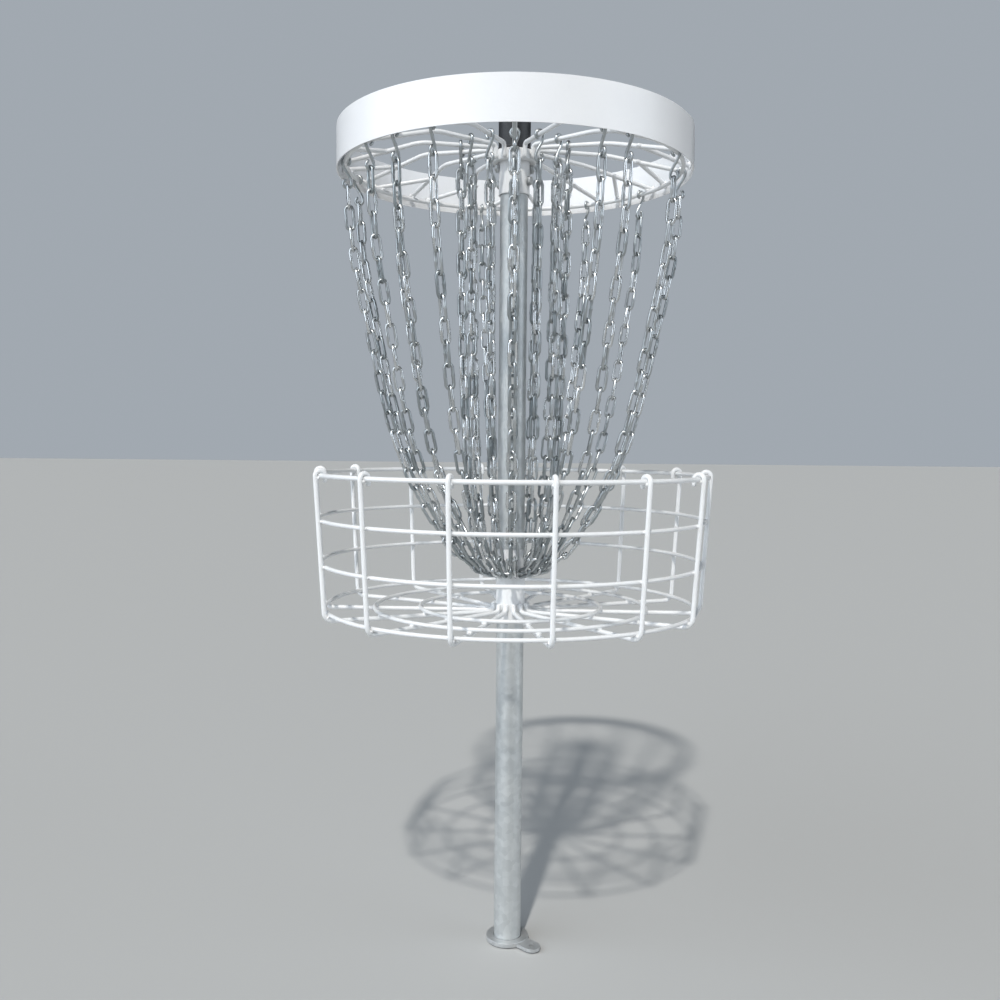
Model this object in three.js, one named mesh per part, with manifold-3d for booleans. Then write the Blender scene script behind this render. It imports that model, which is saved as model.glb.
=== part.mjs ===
// A disc golf basket: a pole in a ground sleeve, a wire basket, a head of bent rods with a sheet
// band, and two rows of chains that hang from the head to one small ring above the basket floor.
// Millimetres, +Z up. The origin is on the pole's axis at ground level; -Y is the front.
import * as THREE from 'three';
import { mergeVertices } from 'three/addons/utils/BufferGeometryUtils.js';
import Module from 'manifold-3d';

const wasm = await Module();
wasm.setup();

// ---- driving dimensions ----
const GAP = 0.3; // left between pieces that touch
const SLIVER = 0.05; // edges shorter than this are closed up after a join or a cut
const COUNT = 14; // ribs, head rods, and chains in each row
const STEP = 360 / COUNT; // degrees from one to the next

const POLE_R = 24.15;
const POLE_WALL = 3.2;
const POLE_FOOT_Z = -290;
const POLE_TOP_Z = 1448;

const GROUND_SLEEVE = { inner: 25, outer: 30.15, foot: -300, top: 10, collar: 38, collarHeight: 8 };
const LOCK_TAB = { angle: 48, from: 33, to: 74, width: 30, thickness: 6, hole: 5.5 };

const CAP = { inner: 24.7, outer: 28.5, foot: 1405.6, top: 1467, roof: 3.5, edge: 5 };

const SLEEVE_IN = 24.5; // both sliding sleeves fit over the pole
const HEAD_SLEEVE = { outer: 27, foot: 1331.5, top: 1405 };
const BASKET_SLEEVE = { outer: 26, foot: 590, top: 715 };

const RIM = { radius: 342, wire: 4, z: 846 };
const HOOP_WIRE = 3.5; // radius of every basket ring below the rim
const HOOP_Z = { upper: 770, lower: 694 };
const RIB_WIRE = 4;
const RIB_PHASE = 10.6; // degrees from the front to the first rib on the right
const RIB_FOOT_R = 336.1;
const RIB_BEND = 16;
const FLOOR_Z = 604; // centre line of the ribs under the floor
const RIB_STUB = 10; // the rib's short end, down inside the rim
const RIB_TURN_UP = 10; // the rib's other end bends up against the basket sleeve
const RIB_TOP_Z = FLOOR_Z + RIB_TURN_UP + 2;
const FLOOR_RINGS = { outer: 240, inner: 160 };

const BAND = { radius: 306, sheet: 1.6, foot: 1364, top: 1434 };
const SEAM = { from: 72, to: 81, clip: 16 };

const HEAD_RING = { radius: 290, wire: 4, z: 1374 };
const ROD_WIRE = 4;
const ROD = { hub: 41, legFoot: 1387.5, z: 1412, bend: 164, brace: 222, spread: 9 };
const HUB = { inner: 27.4, outer: 38, foot: 1386.6, top: 1405 };

const BOLT = { radius: 4, hole: 4.4, head: 7.5, headHeight: 5.5 };
const BOLTS = {
  head_bolt_upper: { angle: 97, z: 1377.5, reach: 27.4 },
  head_bolt_lower: { angle: 62, z: 1354, reach: 27.4 },
  basket_bolt: { angle: 5, z: 694, reach: 26.4 },
};

const CHAIN_R = 4;
const CHAIN_STEPS = 10;
const CHAIN_SIDES = 6;
const CHAIN_RING = { radius: 40, wire: 3, z: 674 };
// Each chain's hanging line as [distance from the pole's axis, height].
const OUTER_LINE = [
  [290, 1369], [281, 1249], [265, 1159], [248, 1080], [228, 985], [203, 897],
  [174, 826], [138, 762], [105, 713], [74, 685.5], [46, 676],
];
const INNER_LINE = [
  [95, 1407], [94, 1290], [92, 1180], [89, 1060], [84, 940], [77, 830], [68, 745], [56, 700], [42, 679.5],
];
// Where the outer row's hooks have slid to on the head ring, in degrees from the front.
const OUTER_HOOKS = [-167, -129, -103, -78, -52, -39, -25, 0, 27, 37, 64, 90, 124, 150];
const FRONT_HOOK = 7; // index of the hook at the front

// ---- materials ----
function finish(color, roughness, metalness) {
  return new THREE.MeshStandardMaterial({ color, roughness, metalness });
}

const powderCoat = () => finish(0xf0f1f1, 0.4, 0.1);
const galvanised = () => finish(0xa3abb0, 0.42, 0.85);
const brightZinc = () => finish(0xc4cacd, 0.28, 0.95);
const blackPlastic = () => finish(0x111317, 0.5, 0);

// ---- helpers ----
// A point from distance out, degrees from the front towards the right, and height.
function at(radius, degrees, z) {
  const turn = THREE.MathUtils.degToRad(degrees);
  return new THREE.Vector3(radius * Math.sin(turn), -radius * Math.cos(turn), z);
}

// A path that has one station at each given point.
class Stations extends THREE.Curve {
  constructor(points) {
    super();
    this.points = points;
  }

  getPoint(t, target = new THREE.Vector3()) {
    const place = t * (this.points.length - 1);
    const index = Math.min(Math.floor(place), this.points.length - 2);
    return target.lerpVectors(this.points[index], this.points[index + 1], place - index);
  }

  getPointAt(u, target) {
    return this.getPoint(u, target);
  }

  getTangentAt(u, target = new THREE.Vector3()) {
    const half = 0.5 / (this.points.length - 1);
    const ahead = this.getPoint(Math.min(1, u + half));
    const behind = this.getPoint(Math.max(0, u - half));
    return target.copy(ahead).sub(behind).normalize();
  }
}

function roundSection(radius, sides) {
  const points = [];
  for (let i = 0; i < sides; i += 1) {
    const turn = (2 * Math.PI * i) / sides;
    points.push(new THREE.Vector2(radius * Math.cos(turn), radius * Math.sin(turn)));
  }
  return new THREE.Shape(points);
}

function sweep(path, steps, radius, sides) {
  const section = roundSection(radius, sides);
  return new THREE.ExtrudeGeometry(section, { steps, bevelEnabled: false, extrudePath: path });
}

function rod(points, radius, sides = 6) {
  return sweep(new Stations(points), points.length - 1, radius, sides);
}

// Points along an arc in the plane through the pole's axis at the given angle.
function arc(angle, centre, radius, fromDeg, toDeg, pieces) {
  const points = [];
  for (let i = 0; i <= pieces; i += 1) {
    const turn = THREE.MathUtils.degToRad(fromDeg + ((toDeg - fromDeg) * i) / pieces);
    points.push(at(centre[0] + radius * Math.cos(turn), angle, centre[1] + radius * Math.sin(turn)));
  }
  return points;
}

function ring(radius, wire, z, around = 28, phase = 0) {
  const geometry = new THREE.TorusGeometry(radius, wire, 6, around);
  geometry.rotateZ(THREE.MathUtils.degToRad(phase - 90));
  geometry.translate(0, 0, z);
  return geometry;
}

// A turned piece from a closed outline of [radius, z] points.
function turned(outline, around = 32) {
  const points = outline.map(([radius, z]) => new THREE.Vector2(radius, z));
  points.push(points[0].clone());
  const geometry = new THREE.LatheGeometry(points, around);
  geometry.rotateX(Math.PI / 2);
  return geometry;
}

function tube(inner, outer, foot, top, around) {
  return turned([[inner, foot], [outer, foot], [outer, top], [inner, top]], around);
}

function solid(geometry) {
  const bare = geometry.clone();
  bare.deleteAttribute('normal');
  bare.deleteAttribute('uv');
  const merged = mergeVertices(bare, 1e-4);
  const vertProperties = new Float32Array(merged.attributes.position.array);
  const triVerts = new Uint32Array(merged.index.array);
  return new wasm.Manifold(new wasm.Mesh({ numProp: 3, vertProperties, triVerts }));
}

function geometryOf(manifold) {
  const mesh = manifold.simplify(SLIVER).getMesh();
  const geometry = new THREE.BufferGeometry();
  geometry.setAttribute('position', new THREE.BufferAttribute(new Float32Array(mesh.vertProperties), 3));
  geometry.setIndex(new THREE.BufferAttribute(new Uint32Array(mesh.triVerts), 1));
  geometry.computeVertexNormals();
  return geometry;
}

function joined(...geometries) {
  return geometryOf(geometries.map(solid).reduce((all, next) => all.add(next)));
}

function cut(geometry, ...tools) {
  return geometryOf(tools.map(solid).reduce((rest, tool) => rest.subtract(tool), solid(geometry)));
}

// A cylinder along the line at the given angle and height, between two distances out.
function crossPin(radius, from, to, { angle, z }, sides = 10) {
  const geometry = new THREE.CylinderGeometry(radius, radius, to - from, sides);
  geometry.translate(0, -(from + to) / 2, 0);
  geometry.rotateZ(THREE.MathUtils.degToRad(angle));
  geometry.translate(0, 0, z);
  return geometry;
}

// ---- the pole and what holds it ----
function poleTube() {
  const holes = Object.values(BOLTS).map((bolt) => crossPin(BOLT.hole, -60, 60, bolt, 12));
  return cut(tube(POLE_R - POLE_WALL, POLE_R, POLE_FOOT_Z, POLE_TOP_Z, 24), ...holes);
}

function poleCap() {
  const { inner, outer, foot, top, roof, edge } = CAP;
  return turned([
    [0, top - roof], [inner, top - roof], [inner, foot], [outer, foot],
    [outer, top - edge], [outer - edge, top], [0, top],
  ], 24);
}

function groundSleeve() {
  const { inner, outer, foot, top, collar, collarHeight } = GROUND_SLEEVE;
  const shell = turned([
    [inner, foot], [outer, foot], [outer, top - collarHeight],
    [collar, top - collarHeight], [collar, top], [inner, top],
  ], 32);
  const half = LOCK_TAB.width / 2;
  const middle = LOCK_TAB.to - half;
  const plan = new THREE.Shape();
  plan.moveTo(LOCK_TAB.from, -half);
  plan.lineTo(middle, -half);
  plan.absarc(middle, 0, half, -Math.PI / 2, Math.PI / 2, false);
  plan.lineTo(LOCK_TAB.from, half);
  plan.holes.push(new THREE.Path().absarc(middle, 0, LOCK_TAB.hole, 0, 2 * Math.PI, true));
  const settings = { depth: LOCK_TAB.thickness, bevelEnabled: false, curveSegments: 8 };
  const tab = new THREE.ExtrudeGeometry(plan, settings);
  tab.rotateZ(THREE.MathUtils.degToRad(LOCK_TAB.angle - 90));
  tab.translate(0, 0, top - LOCK_TAB.thickness - 1);
  return joined(shell, tab);
}

// ---- the head ----
function slidingSleeve({ outer, foot, top }, bolts) {
  const holes = bolts.map((name) => crossPin(BOLT.hole, -60, 60, BOLTS[name], 12));
  return cut(tube(SLEEVE_IN, outer, foot, top, 24), ...holes);
}

// A bolt right through sleeve and pole, with its head at one end and its nut at the other.
function throughBolt(place) {
  const headEnd = place.reach + BOLT.headHeight;
  return joined(
    crossPin(BOLT.radius, -headEnd - 3, headEnd - 1, place, 10),
    crossPin(BOLT.head, place.reach, headEnd, place, 6),
    crossPin(BOLT.head, -headEnd, -place.reach, place, 6),
  );
}

function headRods() {
  const ringTop = HEAD_RING.z + HEAD_RING.wire + ROD_WIRE + GAP;
  const end = BAND.radius - BAND.sheet - ROD_WIRE - 1;
  const slope = (ROD.z - ringTop) / (HEAD_RING.radius - ROD.bend);
  const height = (radius) => ROD.z - slope * (radius - ROD.bend);
  const pieces = [tube(HUB.inner, HUB.outer, HUB.foot, HUB.top, 28)];
  for (let k = 0; k < COUNT; k += 1) {
    const angle = STEP * k;
    const bend = at(ROD.bend, angle, ROD.z);
    const tip = at(end, angle - ROD.spread, height(end));
    const share = (ROD.brace - ROD.bend) / (end - ROD.bend);
    const braceFoot = bend.clone().lerp(tip, share);
    const braceTip = at(end, angle + ROD.spread, height(end));
    pieces.push(rod([
      at(ROD.hub, angle, ROD.legFoot),
      ...arc(angle, [ROD.hub + 6, ROD.z - 6], 6, 180, 90, 2),
      at(ROD.bend - 8, angle, ROD.z),
      bend.clone().lerp(tip, 0.06),
      tip,
    ], ROD_WIRE));
    pieces.push(rod([braceFoot, braceTip], ROD_WIRE));
  }
  return joined(...pieces);
}

function band() {
  const { radius, sheet, foot, top } = BAND;
  const hoop = tube(radius - sheet, radius, foot, top, 72);
  const turn = (degrees) => THREE.MathUtils.degToRad(degrees - 90);
  const lap = new THREE.Shape();
  lap.absarc(0, 0, radius + sheet, turn(SEAM.from), turn(SEAM.to), false);
  lap.absarc(0, 0, radius - sheet / 2, turn(SEAM.to), turn(SEAM.from), true);
  const settings = { depth: top - foot, bevelEnabled: false, curveSegments: 6 };
  const overlap = new THREE.ExtrudeGeometry(lap, settings);
  overlap.translate(0, 0, foot);
  const corner = new THREE.BoxGeometry(3 * SEAM.clip, 12, SEAM.clip * 1.2);
  corner.rotateY(-Math.PI / 4);
  corner.rotateZ(THREE.MathUtils.degToRad(SEAM.to));
  corner.translate(...at(radius + 6.2, SEAM.to, top + 1).toArray());
  return cut(joined(hoop, overlap), corner);
}

// ---- the basket ----
function ribRadius(z) {
  const top = RIM.radius + RIM.wire + RIB_WIRE + GAP;
  const straightFoot = FLOOR_Z + RIB_BEND;
  return RIB_FOOT_R + ((top - RIB_FOOT_R) * (z - straightFoot)) / (RIM.z - straightFoot);
}

function rib(index) {
  const angle = RIB_PHASE + STEP * index;
  const over = RIM.wire + RIB_WIRE + GAP;
  const upright = BASKET_SLEEVE.outer + RIB_WIRE + GAP;
  return rod([
    at(RIM.radius - over, angle, RIM.z - RIB_STUB),
    ...arc(angle, [RIM.radius, RIM.z], over, 180, 0, 4),
    ...arc(angle, [RIB_FOOT_R - RIB_BEND, FLOOR_Z + RIB_BEND], RIB_BEND, 0, -90, 3),
    ...arc(angle, [upright + RIB_TURN_UP, FLOOR_Z + RIB_TURN_UP], RIB_TURN_UP, 270, 180, 2),
    at(upright, angle, RIB_TOP_Z),
  ], RIB_WIRE);
}

function hoop(z) {
  return ring(ribRadius(z) - RIB_WIRE - HOOP_WIRE - GAP, HOOP_WIRE, z, 28, RIB_PHASE);
}

// The bottom ring nests in the bend of the ribs.
function bottomRing() {
  const inwards = (RIB_BEND - RIB_WIRE - HOOP_WIRE - GAP) * Math.SQRT1_2;
  return ring(RIB_FOOT_R - RIB_BEND + inwards, HOOP_WIRE, FLOOR_Z + RIB_BEND - inwards, 28, RIB_PHASE);
}

function floorRing(radius) {
  return ring(radius, HOOP_WIRE, FLOOR_Z + RIB_WIRE + HOOP_WIRE + GAP, 28, RIB_PHASE);
}

// ---- the chains ----
// A chain hangs in the upright plane through its two ends.
function chain(line, topAngle, footAngle) {
  const topRadius = line[0][0];
  const footRadius = line[line.length - 1][0];
  const points = line.map(([radius, z]) => {
    const share = (radius - footRadius) / (topRadius - footRadius);
    return at(footRadius, footAngle, z).lerp(at(topRadius, topAngle, z), share);
  });
  return sweep(new THREE.CatmullRomCurve3(points), CHAIN_STEPS, CHAIN_R, CHAIN_SIDES);
}

// ---- the assembly ----
const basket = new THREE.Group();

function add(name, geometry, material) {
  const mesh = new THREE.Mesh(geometry, material);
  mesh.name = name;
  basket.add(mesh);
}

const numbered = (name, index) => `${name}_${String(index + 1).padStart(2, '0')}`;

add('pole', poleTube(), galvanised());
add('pole_cap', poleCap(), blackPlastic());
add('ground_sleeve', groundSleeve(), galvanised());

add('head_sleeve', slidingSleeve(HEAD_SLEEVE, ['head_bolt_upper', 'head_bolt_lower']), powderCoat());
add('head_rods', headRods(), powderCoat());
add('head_ring', ring(HEAD_RING.radius, HEAD_RING.wire, HEAD_RING.z), powderCoat());
add('band', band(), powderCoat());

add('basket_sleeve', slidingSleeve(BASKET_SLEEVE, ['basket_bolt']), powderCoat());
add('rim_ring', ring(RIM.radius, RIM.wire, RIM.z, 28, RIB_PHASE), powderCoat());
add('upper_ring', hoop(HOOP_Z.upper), powderCoat());
add('lower_ring', hoop(HOOP_Z.lower), powderCoat());
add('bottom_ring', bottomRing(), powderCoat());
add('outer_floor_ring', floorRing(FLOOR_RINGS.outer), powderCoat());
add('inner_floor_ring', floorRing(FLOOR_RINGS.inner), powderCoat());
for (let i = 0; i < COUNT; i += 1) {
  add(numbered('basket_rib', i), rib(i), powderCoat());
}

for (const [name, place] of Object.entries(BOLTS)) {
  add(name, throughBolt(place), galvanised());
}

add('chain_ring', ring(CHAIN_RING.radius, CHAIN_RING.wire, CHAIN_RING.z, 28), brightZinc());
for (let i = 0; i < COUNT; i += 1) {
  const footAngle = STEP * (i - FRONT_HOOK);
  add(numbered('outer_chain', i), chain(OUTER_LINE, OUTER_HOOKS[i], footAngle), brightZinc());
}
for (let i = 0; i < COUNT; i += 1) {
  add(numbered('inner_chain', i), chain(INNER_LINE, STEP * i, STEP * (i + 0.5)), brightZinc());
}

export default basket;
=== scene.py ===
# %% [markdown]
# # A disc golf basket
# The real thing is a galvanised pole with two white powder-coated weldments bolted to it: a chain
# head at the top and a wire basket below. Two rows of zinc-plated chain hang from the head to one
# loose ring above the basket's floor.
#
# The CAD already settles where everything is and how it moves, so this lesson starts by loading it
# as a fixed frame. Everything made here goes in that frame, in metres, and rides on one of its
# bodies.

import bpy
import numpy as np
from mathutils import Matrix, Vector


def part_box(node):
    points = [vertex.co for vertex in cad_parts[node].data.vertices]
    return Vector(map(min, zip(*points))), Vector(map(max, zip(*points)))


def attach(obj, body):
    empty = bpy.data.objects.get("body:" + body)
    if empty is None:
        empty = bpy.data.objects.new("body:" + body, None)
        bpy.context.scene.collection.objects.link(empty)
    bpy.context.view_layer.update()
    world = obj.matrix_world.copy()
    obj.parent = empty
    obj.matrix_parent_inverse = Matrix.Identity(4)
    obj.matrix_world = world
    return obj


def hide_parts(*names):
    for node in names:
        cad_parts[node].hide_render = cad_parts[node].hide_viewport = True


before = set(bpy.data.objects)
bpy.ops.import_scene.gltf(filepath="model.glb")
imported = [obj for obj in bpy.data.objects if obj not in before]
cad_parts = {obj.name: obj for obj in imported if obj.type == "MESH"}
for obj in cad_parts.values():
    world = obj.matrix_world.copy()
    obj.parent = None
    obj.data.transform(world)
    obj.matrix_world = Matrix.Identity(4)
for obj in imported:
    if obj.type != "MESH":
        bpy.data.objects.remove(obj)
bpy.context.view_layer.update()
stand = "stand"

# %% [markdown]
# ## Camera
# The object is seen from a little over half its height, a short distance in front of it, so its
# hoops open downwards below the eye and upwards above it. The camera is made first, so that every
# later step can be looked at from the same place.

# %% The camera
lens = bpy.data.cameras.new("camera")
lens.sensor_width = 36.0
lens.lens = 36.25
EYE = (0.0, -1.7834, 0.9057)
HEADING, TILT, ROLL = np.radians((0.641, 86.625, 0.509))
camera = bpy.data.objects.new("camera", lens)
turn = (
    Matrix.Rotation(HEADING, 4, "Z")
    @ Matrix.Rotation(TILT, 4, "X")
    @ Matrix.Rotation(ROLL, 4, "Z")
)
camera.matrix_world = Matrix.Translation(EYE) @ turn
bpy.context.scene.collection.objects.link(camera)
bpy.context.scene.camera = camera
print("camera at", [round(x, 3) for x in camera.location])

# %% [markdown]
# ## Points round a pole
# Almost every place on this object is easiest to give as a distance from the pole, an angle round
# it and a height. One helper turns those into x, y and z, for single numbers or for whole arrays.


# %% Places round the pole
def around(distance, degrees, height):
    """Points round the pole, with the angle counted from the front towards the right.

    x = distance sin(angle), y = -distance cos(angle), z = height. Arrays are matched by
    broadcasting.
    """
    angle = np.radians(degrees)
    x, y = distance * np.sin(angle), -distance * np.cos(angle)
    return np.stack(np.broadcast_arrays(x, y, height), axis=-1)


def unit(vectors):
    """The same directions with length 1."""
    return vectors / np.linalg.norm(vectors, axis=-1, keepdims=True)


COUNT = 14
STEP = 360 / COUNT
UP = np.array([0, 0, 1.0])
print("one rib, rod and chain every", round(STEP, 2), "degrees")

# %% [markdown]
# ## From a grid of points to a closed skin
# Each surface below is worked out as a grid of points: one parameter runs along the rows and one
# round the columns. The faces are the same for every such grid, so they are counted out once, as
# whole arrays. A grid may have a leading axis of copies, which is how hundreds of chain links are
# made in one go. The signed volume tells whether the skin came out inside out, and it is turned if
# so.


# %% Skins
def skin(grid, ring=False):
    """Points, quads and triangles of a closed skin over a grid of copies x rows x columns.

    Columns always join up. Rows join up too when ring is true. Otherwise a fan of triangles closes
    each end on the middle of its last row.
    """
    grid = grid.reshape((-1, *grid.shape[-3:]))
    copies, rows, columns = grid.shape[:3]
    index = np.arange(rows * columns).reshape(rows, columns)
    lower = index if ring else index[:-1]
    upper = np.roll(index, -1, 0) if ring else index[1:]
    corners = [lower, np.roll(lower, -1, 1), np.roll(upper, -1, 1), upper]
    quads = np.stack(corners, -1).reshape(-1, 4)
    points = grid.reshape(copies, -1, 3)
    triangles = np.zeros((0, 3), int)
    if not ring:
        points = np.concatenate([points, grid[:, [0, -1]].mean(axis=2)], axis=1)
        foot, tip = index[0], index[-1]
        foot_fan = np.stack([np.roll(foot, -1), foot, np.full(columns, rows * columns)], -1)
        tip_fan = np.stack([tip, np.roll(tip, -1), np.full(columns, rows * columns + 1)], -1)
        triangles = np.concatenate([foot_fan, tip_fan])
    shift = np.arange(copies)[:, None, None] * points.shape[1]
    quads = (quads + shift).reshape(-1, 4)
    triangles = (triangles + shift).reshape(-1, 3)
    return outward(points.reshape(-1, 3), quads, triangles)


def outward(points, quads, triangles):
    """Turns the faces round if the skin's volume, a sum of corner a . (b x c) / 6, is negative."""
    corners = np.concatenate([quads[:, :3], quads[:, [0, 2, 3]], triangles])
    a, b, c = (points[corners[:, i]] for i in range(3))
    if (a * np.cross(b, c)).sum() < 0:
        quads, triangles = quads[:, ::-1], triangles[:, ::-1]
    return points, quads, triangles


# %% [markdown]
# A piece is one or more skins in one mesh object. It is shaded smooth, takes one finish, and rides
# on a body of the CAD frame. Where it stands for a CAD node, that node is hidden. The `tone`
# attribute is one number for each point, which a finish can read to make no two links quite alike.


# %% Pieces
def make_piece(name, skins, finish, body=stand, nodes=(), tone=None):
    """Joins skins into one smooth mesh object that rides on a body and stands for CAD nodes."""
    starts = np.cumsum([0] + [len(points) for points, _, _ in skins])
    points = np.concatenate([points for points, _, _ in skins])
    faces = []
    for start, (_, quads, triangles) in zip(starts, skins):
        faces += (quads + start).tolist() + (triangles + start).tolist()
    mesh = bpy.data.meshes.new(name)
    mesh.from_pydata(points, [], faces)
    mesh.polygons.foreach_set("use_smooth", np.ones(len(mesh.polygons), bool))
    if tone is not None:
        mesh.attributes.new("tone", "FLOAT", "POINT").data.foreach_set("value", tone)
    mesh.materials.append(finish)
    piece = bpy.data.objects.new(name, mesh)
    bpy.context.scene.collection.objects.link(piece)
    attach(piece, body)
    if nodes:
        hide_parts(*nodes)
    print(f"{name}: {len(points)} points, {len(faces)} faces")


# %% [markdown]
# ## Rods, hoops and turned parts
# Wire and rod are a round section carried along a path. The section needs a side direction that is
# never parallel to the path, and every path here has an obvious one, so nothing has to be rolled
# along from station to station and the whole tube is one array expression.


# %% Round section along a path
def along(path, ring=False):
    """Unit directions of a path, from the point before to the point after each station."""
    if ring:
        return unit(np.roll(path, -1, -2) - np.roll(path, 1, -2))
    return unit(np.gradient(path, axis=-2))


def tube(path, radius, side, sides=12, ring=False):
    """path + radius (n cos a + b sin a): n is the side direction made square to the path, and
    b is square to both."""
    ahead = along(path, ring)
    n = unit(side - (side * ahead).sum(-1, keepdims=True) * ahead)
    b = np.cross(ahead, n)
    a = np.linspace(0, 2 * np.pi, sides, endpoint=False)[:, None]
    section = n[..., None, :] * np.cos(a) + b[..., None, :] * np.sin(a)
    size = np.broadcast_to(radius, path.shape[:-1])[..., None, None]
    return path[..., None, :] + size * section


def with_round_ends(path, radius):
    """Adds half a ball to each end: stations radius sin(t) further out, of radius cos(t)."""
    t = np.radians([85, 58, 29])
    start_way = unit(path[..., :1, :] - path[..., 1:2, :])
    end_way = unit(path[..., -1:, :] - path[..., -2:-1, :])
    start = path[..., :1, :] + start_way * (radius * np.sin(t))[:, None]
    end = path[..., -1:, :] + end_way * (radius * np.sin(t[::-1]))[:, None]
    sizes = [radius * np.cos(t), np.full(path.shape[-2], radius), radius * np.cos(t[::-1])]
    return np.concatenate([start, path, end], axis=-2), np.concatenate(sizes)


def hoop(radius, wire, height, stations=168, sides=12):
    """A wire ring round the pole: a round section carried round a circle."""
    degrees = np.linspace(0, 360, stations, endpoint=False)
    circle = around(radius, degrees, height)
    return skin(tube(circle, wire, UP, sides, ring=True), ring=True)


# %% [markdown]
# Sleeves, the pole and its cap are outlines turned round the pole. A cut tube never has a razor
# edge, so each corner of an outline is rounded first. Two extra points beside each corner keep the
# smooth shading of the corner from spreading over the flat walls.


# %% Turned outlines
GUARD = 1.8  # how far out the two extra points stand, in corner radii


def softened(corners, radius, steps=3):
    """Rounds each corner of a closed outline with the parabola (1-t)^2 a + 2t(1-t) corner + t^2 b,
    where a and b lie on the two sides at the given distance from the corner."""
    corners = np.asarray(corners, float)
    before = unit(np.roll(corners, 1, 0) - corners) * radius
    after = unit(np.roll(corners, -1, 0) - corners) * radius
    t = np.linspace(0, 1, steps + 1)[:, None]
    a, b, middle = (corners + before)[:, None], (corners + after)[:, None], corners[:, None]
    curve = (1 - t) ** 2 * a + 2 * t * (1 - t) * middle + t**2 * b
    lead, tail = (corners + GUARD * before)[:, None], (corners + GUARD * after)[:, None]
    return np.concatenate([lead, curve, tail], axis=1).reshape(-1, 2)


def turned(outline, sides=72):
    """A closed outline of (distance, height) turned round the pole."""
    degrees = np.linspace(0, 360, sides, endpoint=False)
    return skin(around(outline[:, :1], degrees, outline[:, 1:]), ring=True)


def tube_outline(inner, outer, foot, top, soft=0.0008):
    """The cut section of a length of tube."""
    return softened([(inner, foot), (outer, foot), (outer, top), (inner, top)], soft)


# %% [markdown]
# ## Finishes
# Every finish is worked out in nodes, from the object's own coordinates in metres, so its grain is
# the right size and stays put when a chain swings. A few helpers keep the node code short: a value
# is set on a socket, and another node's output is linked to it.


# %% Helpers for nodes
def add(tree, kind, inputs=None, **options):
    """Adds a node with its options, and sets or links its inputs."""
    made = tree.nodes.new(kind)
    for option, value in options.items():
        setattr(made, option, value)
    for socket, value in (inputs or {}).items():
        if isinstance(value, bpy.types.NodeSocket):
            tree.links.new(value, made.inputs[socket])
        else:
            made.inputs[socket].default_value = value
    return made


def calculate(tree, operation, *values, **options):
    """The result of one maths node on the given values."""
    node = add(tree, "ShaderNodeMath", dict(enumerate(values)), operation=operation, **options)
    return node.outputs[0]


def noise(tree, place, size, detail, roughness):
    """Noise from 0 to 1, whose coarsest features are about the given size."""
    inputs = {"Vector": place, "Scale": calculate(tree, "DIVIDE", 1.0, size)}
    inputs.update({"Detail": detail, "Roughness": roughness})
    return add(tree, "ShaderNodeTexNoise", inputs).outputs["Fac"]


def new_group(name, inputs, output):
    """An empty shader group of numbers: the group, its inputs and the socket for its one output."""
    group = bpy.data.node_groups.new(name, "ShaderNodeTree")
    for label, value in inputs.items():
        socket = group.interface.new_socket(label, in_out="INPUT", socket_type="NodeSocketFloat")
        socket.default_value = value
    group.interface.new_socket(output, in_out="OUTPUT", socket_type="NodeSocketFloat")
    given = group.nodes.new("NodeGroupInput").outputs
    return group, given, group.nodes.new("NodeGroupOutput").inputs[output]


def spaced(values):
    """The same values under socket names, which have spaces where Python names have underscores."""
    return {name.replace("_", " "): value for name, value in values.items()}


def place_group(tree, group, **inputs):
    """Puts a group into a material and returns its one output."""
    return add(tree, "ShaderNodeGroup", spaced(inputs), node_tree=group).outputs[0]


print("helpers for nodes are ready")

# %% [markdown]
# Three effects come back in several finishes. Outdoor metal is never one even colour, so `patches`
# gives slow, cloudy variation that can be stretched into streaks. `skin_grain` is the fine surface
# that catches the light: the orange peel of powder coat, the grit of zinc, the spark texture of a
# moulding. `settled_dust` gathers on what faces up, in clumps.


# %% Group: patches
patches, given, mask = new_group("patches", {"Size": 0.05, "Stretch": 1.0, "Contrast": 1.0}, "Mask")
place = add(patches, "ShaderNodeTexCoord").outputs["Object"]
flatten = calculate(patches, "DIVIDE", 1.0, given["Stretch"])
squash = add(patches, "ShaderNodeCombineXYZ", {"X": 1.0, "Y": 1.0, "Z": flatten}).outputs[0]
stretched = add(patches, "ShaderNodeVectorMath", {0: place, 1: squash}, operation="MULTIPLY")
cloud = noise(patches, stretched.outputs[0], given["Size"], 5.0, 0.6)
centred = calculate(patches, "SUBTRACT", cloud, 0.5)
pulled = calculate(patches, "MULTIPLY_ADD", centred, given["Contrast"], 0.5, use_clamp=True)
patches.links.new(pulled, mask)

# %% Group: skin grain
skin_grain, given, height = new_group("skin_grain", {"Size": 0.002, "Roughening": 0.5}, "Height")
place = add(skin_grain, "ShaderNodeTexCoord").outputs["Object"]
skin_grain.links.new(noise(skin_grain, place, given["Size"], 3.0, given["Roughening"]), height)

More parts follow.
